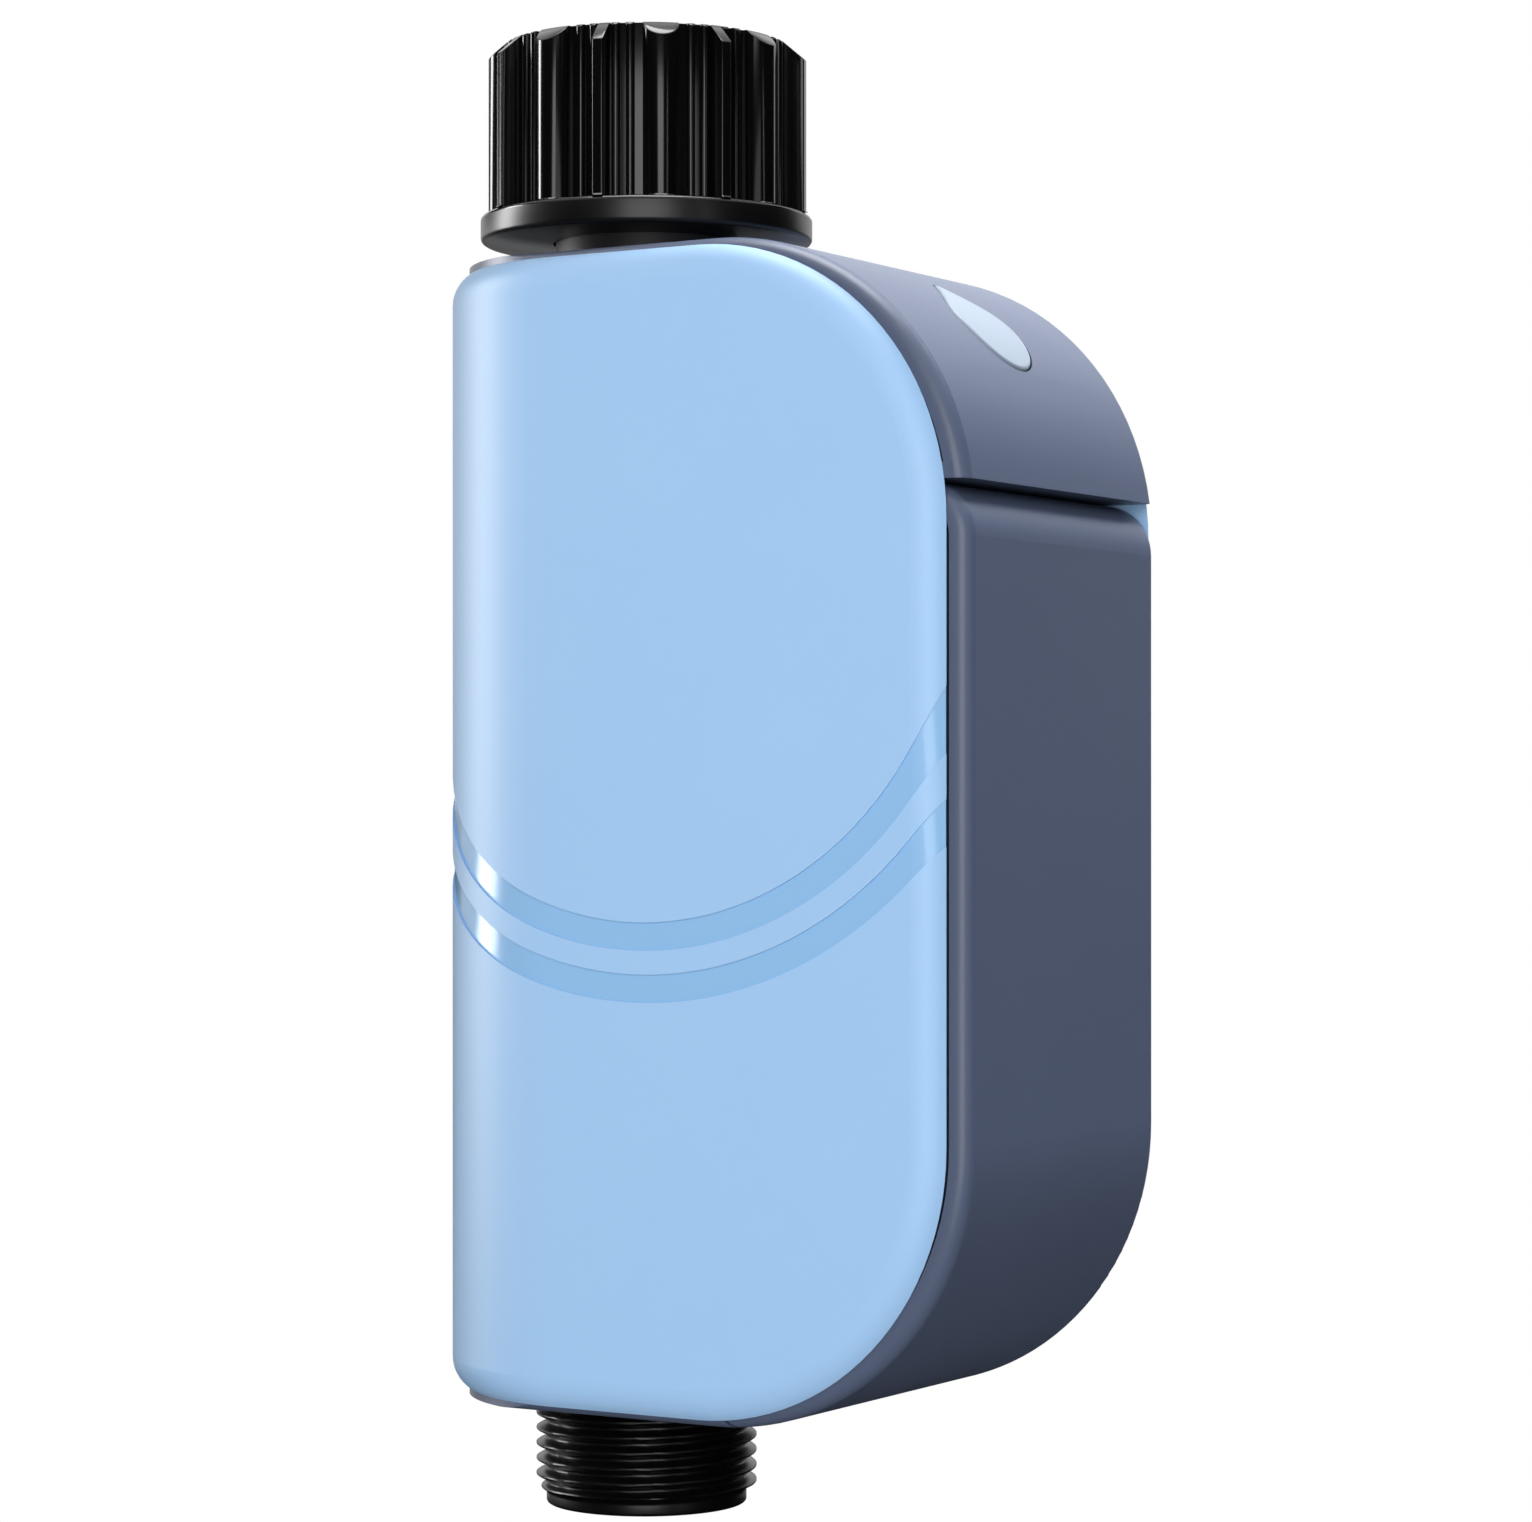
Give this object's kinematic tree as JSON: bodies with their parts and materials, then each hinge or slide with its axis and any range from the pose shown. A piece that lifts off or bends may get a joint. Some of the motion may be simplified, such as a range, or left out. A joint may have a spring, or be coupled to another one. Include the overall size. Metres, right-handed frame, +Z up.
{
  "type": "smart water timer",
  "caption": "Tap-mounted electronic water timer: swivel inlet nut, straight pipe with a motor-driven ball valve, threaded outlet, and a side case with a battery cover and one button.",
  "frame": {"origin": "on the pipe axis, at the inlet washer's top face, where the end of the tap presses", "axes": "+Z up along the pipe into the tap; -Y towards the front with the two curved grooves; +X towards the battery cover"},
  "size_m": [0.0791, 0.0504, 0.1744],
  "materials": {
    "blue_plastic": "satin moulded light blue",
    "slate_plastic": "fine matte moulded slate",
    "pale_plastic": "satin moulded pale blue-white",
    "black_nylon": "moulded glass-filled nylon",
    "grey_nylon": "moulded glass-filled nylon",
    "black_rubber": "moulded rubber",
    "filter_plastic": "moulded, natural",
    "white_acetal": "moulded acetal",
    "white_seal": "machined low friction plastic",
    "brass": "turned",
    "steel": "plated",
    "motor_can": "drawn can",
    "gear_case": "moulded",
    "board_green": "solder mask",
    "chip_black": "moulded packages",
    "cell_wrap": "plain shrink sleeve",
    "contact_metal": "nickel plated spring strip"
  },
  "bodies": {
    "housing": {"inlet_washer": "black_rubber", "inlet_filter": "filter_plastic", "swivel_ring": "white_acetal", "valve_body": "grey_nylon", "outlet_spout": "black_nylon", "ball_seats": "white_seal", "compound_gear_pin": "steel", "motor": "motor_can", "gearbox_base": "gear_case", "gearbox_lid": "gear_case", "gearbox_screws": "steel", "chassis": "slate_plastic", "cover_hinge_pins": "steel", "cover_gasket": "black_rubber", "front_shell": "blue_plastic", "rear_shell": "blue_plastic", "switch_board": "board_green", "tactile_switch": "chip_black", "circuit_board": "board_green", "board_chips": "chip_black", "radio_module": "steel", "board_screws": "steel", "shell_screws": "steel", "battery_cells": "cell_wrap", "battery_contacts": "contact_metal"},
    "nut": {"inlet_nut": "black_nylon"},
    "cover": {"battery_cover": "slate_plastic"},
    "button": {"button_cap": "pale_plastic"},
    "valve": {"valve_ball": "white_acetal", "valve_stem": "brass", "stem_o_rings": "black_rubber", "output_gear": "white_acetal"},
    "reduction": {"compound_gear": "white_acetal"},
    "rotor": {"motor_pinion": "brass", "motor_shaft": "steel"}
  },
  "joints": [
    {"name": "nut_swivel", "type": "hinge", "parent": "housing", "child": "nut", "pos_m": [0, 0, 0], "axis": [0, 0, 1], "continuous": true},
    {"name": "cover_hinge", "type": "hinge", "parent": "housing", "child": "cover", "pos_m": [0.029, 0, -0.1448], "axis": [0, 1, 0], "range_deg": [0, 80]},
    {"name": "button_press", "type": "slide", "parent": "housing", "child": "button", "axis": [-0.7071, 0, -0.7071], "range_m": [0, 0.0004], "stiffness_N_per_m": 800},
    {"name": "valve_turn", "type": "hinge", "parent": "housing", "child": "valve", "pos_m": [0, 0, -0.1285], "axis": [1, 0, 0], "range_deg": [0, 90]},
    {"name": "reduction_turn", "type": "hinge", "parent": "housing", "child": "reduction", "pos_m": [0, 0.00919, -0.12079], "axis": [1, 0, 0], "range_deg": [-271, 1]},
    {"name": "motor_turn", "type": "hinge", "parent": "housing", "child": "rotor", "pos_m": [0, -0.00281, -0.12079], "axis": [1, 0, 0], "range_deg": [-1, 811]}
  ],
  "couplings": [
    {"joint": "reduction_turn", "follows": "valve_turn", "ratio": -3},
    {"joint": "motor_turn", "follows": "valve_turn", "ratio": 9}
  ]
}
